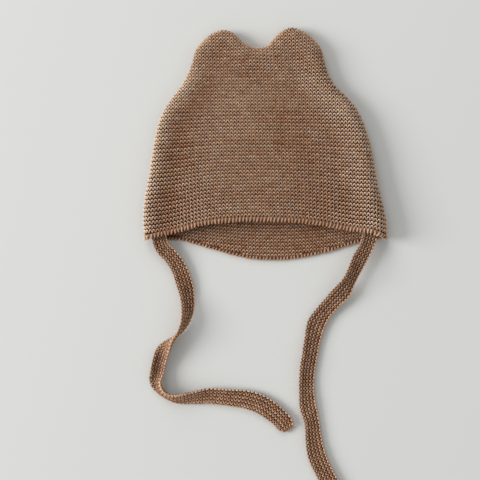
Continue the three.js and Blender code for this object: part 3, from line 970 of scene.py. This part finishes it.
def yarnAlong(points, normals, places, panel, rng):
    # Loops a yarn along a line of the surface, whose stitches are counted by places.
    sideways = unit(np.cross(normals, np.gradient(points, axis=0))) * panel["facing"]

    def facingAt(at):
        return unit(sampleAt(normals, places, at))

    def place(at, swing):
        return sampleAt(points, places, at) + sampleAt(sideways, places, at) * swing[:, None]

    knit = panel["yarn"]
    u, centre, normal, radius, lift = loopedPath(
        place, facingAt, places[0], places[-1], knit["perStitch"], rng, knit["size"]
    )
    knots = np.arange(math.floor(places[0]) - 1, math.ceil(places[-1]) + 2, 1.0)
    tone = yarn["tone"] + rng.normal(0, yarn["ridgeToneVary"])
    tone = tone + np.interp(u, knots, rng.normal(0, yarn["toneVary"], len(knots)))
    # Painted light and shade on the knit that faces up.
    if panel["facing"] > 0:
        tone = tone + paintedLightAndShade(centre[:, 0], centre[:, 1])
    shade = 0.0
    # Painted shade inside the mouth and a painted shadow just below the front edge.
    if "shadeEdge" in panel:
        edgeX, edgeY = panel["shadeEdge"].T
        below = np.interp(centre[:, 0], edgeX, edgeY) - centre[:, 1]
        tone = tone - panel["darker"]
        shade = panel["shade"] * (1 - smoothStep(below, *panel["shadeReach"]))
    top = knit["size"] * (yarn["radius"] + yarn["arch"] + yarn["headRise"])
    depthOf = depthFor(lift, top, shade)
    return sweepYarn(centre, normal, radius, knit["sides"], False, tone, depthOf)


def ridgeYarn(run, base, panel, rng):
    # The looping yarn of one stretch of a ridge, on the panel's surface moved in by the offset.
    a, b = run
    x = a + (b - a) * (1 - np.cos(np.linspace(0, np.pi, yarn["lineSteps"]))) / 2
    points, normals = surface(x, ridgeLine(x, base, panel), panel)
    if "window" in panel:
        keep = np.abs(x) < panel["window"]
        points, normals = points[keep], normals[keep]
    points = points - normals * panel["yarn"]["offset"]
    places = stitchPlaces(points, lengthsAlong(points), panel)
    return yarnAlong(points, normals, places, panel, rng)


def ridgeParts(bases, panel, rng):
    # The yarns of all ridges, without stretches shorter than a stitch.
    runs = [(run, base) for base in bases for run in insideRuns(base, panel)]
    runs = [(run, base) for run, base in runs if run[1] - run[0] > yarn["stitch"]]
    return [ridgeYarn(run, base, panel, rng) for run, base in runs]


def topRidges(panel, rng):
    # Ridges that follow the seam over the tops of the ears and through the dip, where the level
    # ridges leave the rolled edge bare. Short stretches are left out.
    inward = unit(np.gradient(seamLine, axis=0)) @ np.array([[0, -1], [1, 0]])
    level = np.abs(inward[:, 1]) > crown["topLevel"]
    high = level & (seamLine[:, 1] > crown["unbrokenTo"])
    change = np.flatnonzero(np.diff(np.concatenate([[0], high.astype(int), [0]])))
    parts = []
    for inset in panel["insets"]:
        line = seamLine + inward * inset
        for start, stop in zip(change[::2], change[1::2]):
            if stop - start > crown["topShortest"]:
                points, normals = surface(line[start:stop, 0], line[start:stop, 1], panel)
                points = points - normals * panel["yarn"]["offset"]
                places = lengthsAlong(points) / yarn["stitch"]
                parts.append(yarnAlong(points, normals, places, panel, rng))
    return parts


def patchGrid(bottom, top, left, right, s, t):
    # Coons patch: the blend of opposite edges both ways, less the blend of the four corners.
    bottom, top, left, right = bottom[None], top[None], left[:, None], right[:, None]
    s, t = s[None, :, None], t[:, None, None]
    corner = (1 - s) * (1 - t) * bottom[:, :1] + s * (1 - t) * bottom[:, -1:]
    corner = corner + (1 - s) * t * top[:, :1] + s * t * top[:, -1:]
    return (1 - t) * bottom + t * top + (1 - s) * left + s * right - corner


def seamAt(distance):
    return sampleAt(seamLine, seamLengths, distance)


def mouthLine(curve, inward, shares):
    # The edge of a panel's mouth moved up into the knit, with its ends kept on the seams.
    lengths = lengthsAlong(curve)
    startShift = seamAt(inward) - curve[0]
    endShift = seamAt(seamLengths[-1] - inward) - curve[-1]
    line = sampleAt(curve, lengths, shares * lengths[-1])
    return line + np.outer(1 - shares, startShift) + np.outer(shares, endShift)


def panelGrid(curve, settings):
    # A grid over a panel, between the edge of its mouth, its two sides and the tops of its ears.
    # Its lines lie closer together beside both seams and towards the ears.
    s = np.linspace(0, 1, settings["columns"] + 1)
    s = s - settings["crowd"] * np.sin(2 * np.pi * s) / (2 * np.pi)
    t = np.linspace(0, 1, settings["rows"] + 1)
    t = t + settings["crowd"] * np.sin(np.pi * t) / np.pi
    leftShoulder = seamLengths[(len(leftSide) - 1) * seamSamples]
    rightShoulder = seamLengths[(len(leftSide) + len(overEars)) * seamSamples]
    start = crown["bandHeight"] / 2
    stop = seamLengths[-1] - start
    bottom = mouthLine(curve, start, s)
    top = seamAt(leftShoulder + (rightShoulder - leftShoulder) * s)
    left = seamAt(start + (leftShoulder - start) * t)
    right = seamAt(stop - (stop - rightShoulder) * t)
    return patchGrid(bottom, top, left, right, s, t)


def groundPart(panel, settings):
    # The knit below its yarns: a closed sheet between two offsets of the panel's surface, its rim
    # joined all round, coloured with painted shade where it shows between the loops.
    grid = panelGrid(panel["edge"], settings)
    points, normals = surface(grid[..., 0], grid[..., 1], panel)
    side = crown["seamHeight"] + panel["facing"] * crown["sewnGap"] / 2
    limit = np.maximum if panel["facing"] > 0 else np.minimum
    layers = []
    for offset in panel["ground"]:
        layer = points - normals * offset
        layer[..., 2] = limit(layer[..., 2], side)
        layers.append(layer.reshape(-1, 3))
    rows, columns = settings["rows"], settings["columns"]
    half = (rows + 1) * (columns + 1)
    i = np.arange(rows)[:, None] * (columns + 1) + np.arange(columns)[None, :]
    outer = np.stack([i, i + 1, i + columns + 2, i + columns + 1], -1).reshape(-1, 4)
    inner = outer[:, ::-1] + half
    low = np.arange(columns)
    high = rows * (columns + 1) + low
    start = np.arange(rows) * (columns + 1)
    stop = start + columns
    rims = [(low + 1, low), (high, high + 1), (start, start + columns + 1), (stop + columns + 1, stop)]
    rims = [np.stack([half + b, half + a, a, b], -1) for a, b in rims]
    quads = np.concatenate([outer, inner, *rims])
    if panel["facing"] < 0:
        quads = quads[:, ::-1]
    return makePart(np.concatenate(layers), quads, (), None, groundTone, panel["groundShade"])


def makeFront(panel, seed):
    rng = np.random.default_rng(seed)
    bases = ridgeBases(panel)
    low = ridgeParts(bases[bases < panel["split"]], panel, rng)
    high = ridgeParts(bases[bases >= panel["split"]], panel, rng) + topRidges(panel, rng)
    ground = [groundPart(panel, groundGrid)]
    for name, parts in (("ground", ground), ("knit_low", low), ("knit_high", high)):
        makeObject("front_" + name, parts, knitMaterial, ["front_panel"])


def makeBack(panel, insidePanel, seed):
    rng = np.random.default_rng(seed)
    bases = ridgeBases(panel)
    under = ridgeParts(bases, panel, rng) + topRidges(panel, rng)
    inside = ridgeParts(bases[bases < insidePanel["upTo"]], insidePanel, rng)
    ground = [groundPart(panel, groundGrid)]
    for name, parts in (("ground", ground), ("knit_under", under), ("knit_inside", inside)):
        makeObject("back_" + name, parts, knitMaterial, ["back_panel"])


makeFront(frontPanel, seed=21)
makeBack(backPanel, backInside, seed=22)
print("panels made")


# The two ribbed edges of the mouth
bandSettings = {
    "lineSteps": 900,
    "spacing": 2.7,
    "ribSteps": 12,
    "ribSides": 6,
    "halfThick": 1.0,
    "tone": 0.4,
    "shade": 0.15,  # painted shade: how much darker the ribs are than the yarn of the panels
    "depthShare": 1.5,  # the depth at which a rib's painted shade is deepest, in radii
    "sizeVary": 0.09,
    "leanVary": 0.22,
    "riseVary": 0.12,
    "radiusVary": 0.08,
    "toneVary": 0.08,
    "spacingVary": 0.16,
    "core": {"height": 1.35, "thick": 0.8, "sides": 12, "steps": 220},
    "leftDrop": 1.3,  # how far the ribs sag below both corners
    "rightDrop": 0.9,
    "dropReach": 9.0,
}
frontBand = {
    "panel": frontPanel,
    "offset": 1.05,  # how far in the middles of the ribs lie
    "rise": 1.35,  # how far they stand above the edge of the mouth
    "height": 1.25,  # half of a rib's height
    "radius": 0.8,
    "lean": 0.35,
    # painted shade of the tube between the ribs
    "coreShade": 0.6,
    "paintedLightShare": 0.7,  # how much of the front panel's painted light and shade the ribs take on
}
backBand = {
    "panel": backPanel,
    "offset": 1.7,
    "rise": 1.3,
    "height": 0.75,
    "radius": 0.8,
    "lean": 0.3,
    # painted shade of the tube between the ribs
    "coreShade": 0.85,
    "paintedLightShare": 0.0,
}


def cornerDrop(x, settings):
    fromLeft, fromRight = x - corners[0][0], corners[1][0] - x
    drop = settings["leftDrop"] * np.exp(-((fromLeft / settings["dropReach"]) ** 2))
    return drop + settings["rightDrop"] * np.exp(-((fromRight / settings["dropReach"]) ** 2))


def bandLine(band, rise, settings):
    # A line along the edge of the mouth at a distance above it, with its three directions.
    panel = band["panel"]
    shares = (1 - np.cos(np.pi * np.linspace(0, 1, settings["lineSteps"]))) / 2
    line = mouthLine(panel["edge"], rise, shares)
    if panel["facing"] > 0:
        line[:, 1] -= cornerDrop(line[:, 0], settings)
    points, normals = surface(line[:, 0], line[:, 1], panel)
    points = points - normals * band["offset"]
    forward = unit(np.gradient(points, axis=0))
    upward = unit(np.cross(normals, forward)) * panel["facing"]
    return points, normals, forward, upward, lengthsAlong(points)


def rib(at, line, band, settings, rng):
    # One rib, a yarn round an oval that stands across the edge and leans a little.
    points, normals, forward, upward, lengths = line
    middle, n, f, q = (sampleAt(v, lengths, at) for v in (points, normals, forward, upward))
    ring = 2 * np.pi * np.arange(settings["ribSteps"]) / settings["ribSteps"]
    cosine, sine = np.cos(ring)[:, None], np.sin(ring)[:, None]
    size = 1 + rng.normal(0, settings["sizeVary"])
    lean = rng.normal(band["lean"], settings["leanVary"])
    out = cosine * q * band["height"] * size + sine * n * settings["halfThick"] * size
    centre = middle + q * rng.normal(0, settings["riseVary"]) + out + f * (lean * cosine)
    radius = band["radius"] * (1 + rng.normal(0, settings["radiusVary"]))

    # Painted shade between the ribs, with an even painted shade over each rib.
    def depthOf(i, above):
        return np.clip((radius - above) / (settings["depthShare"] * radius) + settings["shade"], 0, 1)

    tone = settings["tone"] + rng.normal(0, settings["toneVary"])
    # The ribs take on part of the front panel's painted light and shade.
    tone = tone + band["paintedLightShare"] * paintedLightAndShade(middle[:1], middle[1:2])[0]
    outward = unit(cosine * q + sine * n)
    return sweepYarn(centre, outward, radius, settings["ribSides"], True, tone, depthOf)


def bandCore(band, settings):
    # The oval tube that the ribs stand on, darkened with painted shade between the ribs.
    core = settings["core"]
    points, normals, forward, upward, lengths = bandLine(band, crown["bandHeight"] / 2, settings)
    turn = 2 * np.pi * (np.arange(core["sides"]) + 0.5) / core["sides"]
    at = np.linspace(0, lengths[-1], core["steps"])
    rise = sampleAt(upward, lengths, at)[:, None] * np.cos(turn)[:, None]
    swell = sampleAt(normals, lengths, at)[:, None] * np.sin(turn)[:, None]
    rings = sampleAt(points, lengths, at)[:, None] + rise * core["height"] + swell * core["thick"]
    if band["panel"]["facing"] > 0:
        rings = rings[:, ::-1]
    return ringTube(rings, groundTone, band["coreShade"])


def makeBand(name, node, band, settings, seed):
    # Ribs stand side by side on a core that follows the edge of the mouth.
    rng = np.random.default_rng(seed)
    line = bandLine(band, band["rise"], settings)
    total = line[-1][-1]
    count = int(total / settings["spacing"])
    places = (np.arange(count) + 0.5) * total / count + rng.normal(0, settings["spacingVary"], count)
    parts = [rib(at, line, band, settings, rng) for at in places]
    parts.append(bandCore(band, settings))
    makeObject(name, parts, knitMaterial, [node])


makeBand("front_edge_ribs", "front_edge_band", frontBand, bandSettings, seed=31)
makeBand("back_edge_ribs", "back_edge_band", backBand, bandSettings, seed=32)
print("edges made")


# Floor, light and colour handling, in metres and watts
studio = {
    "floorColour": (222, 223, 220),
    "floorSize": 6.0,
    "floorRoughness": 0.6,
    "floorSpecular": 0.2,
    "window": {"place": (-3.6, 0.2, 1.9), "size": 1.9, "power": 138.0},
    "glow": {"place": (-1.2, 3.0, 2.4), "size": 2.0, "power": 30.0},
    "skyStrength": 0.46,
}


def makeLight(name, place, size, power):
    # A square light at a place, turned to face the origin.
    data = bpy.data.lights.new(name, "AREA")
    data.size = size
    data.energy = power
    light = bpy.data.objects.new(name, data)
    bpy.context.scene.collection.objects.link(light)
    light.location = place
    tilt = math.atan2(math.hypot(place[0], place[1]), place[2])
    turn = math.atan2(-place[1], -place[0]) - math.pi / 2
    light.rotation_euler = (tilt, 0, turn)


def makeStudio(settings):
    half = settings["floorSize"] / 2
    square = [(-half, -half, 0), (half, -half, 0), (half, half, 0), (-half, half, 0)]
    mesh = bpy.data.meshes.new("floor")
    mesh.from_pydata(square, [], [(0, 1, 2, 3)])
    floor = bpy.data.objects.new("floor", mesh)
    bpy.context.scene.collection.objects.link(floor)
    material = bpy.data.materials.new("pale_table")
    material.use_nodes = True
    shader = material.node_tree.nodes["Principled BSDF"]
    shader.inputs["Base Color"].default_value = linear(settings["floorColour"])
    shader.inputs["Roughness"].default_value = settings["floorRoughness"]
    shader.inputs["Specular IOR Level"].default_value = settings["floorSpecular"]
    mesh.materials.append(material)
    for name in ("window", "glow"):
        makeLight(name, **settings[name])
    world = bpy.data.worlds.new("studio")
    world.use_nodes = True
    background = world.node_tree.nodes["Background"]
    background.inputs["Color"].default_value = (1, 1, 1, 1)
    background.inputs["Strength"].default_value = settings["skyStrength"]
    bpy.context.scene.world = world
    bpy.context.scene.view_settings.view_transform = "Standard"


makeStudio(studio)
print("studio made")
